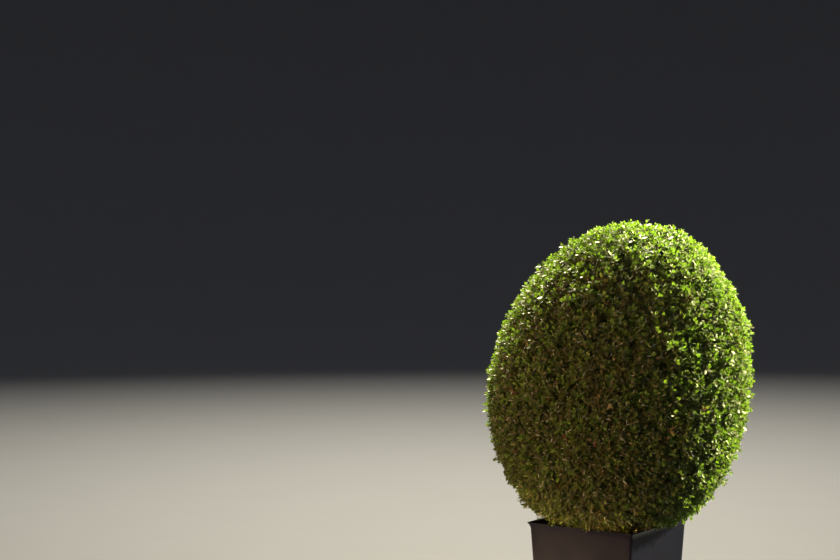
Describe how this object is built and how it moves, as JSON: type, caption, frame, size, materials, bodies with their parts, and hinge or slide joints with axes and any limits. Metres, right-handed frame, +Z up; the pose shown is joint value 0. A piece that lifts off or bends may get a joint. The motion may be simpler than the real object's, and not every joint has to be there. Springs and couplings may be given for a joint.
{
  "type": "potted box topiary ball",
  "caption": "Box shrub clipped into a tall, slightly leaning ball, growing in a dark square tapered planter with a flared lip.",
  "frame": {"origin": "centre of the planter's flat underside", "axes": "+Z up, +X and +Y square to the planter's sides; its front faces -Y"},
  "size_m": [0.9021, 0.9091, 1.3208],
  "materials": {
    "planter": "satin",
    "compost": "matte",
    "bark": "matte",
    "leaves": "satin"
  },
  "bodies": {
    "root": {"pot": "planter", "soil": "compost", "stem": "bark", "foliage": "leaves"}
  },
  "joints": []
}
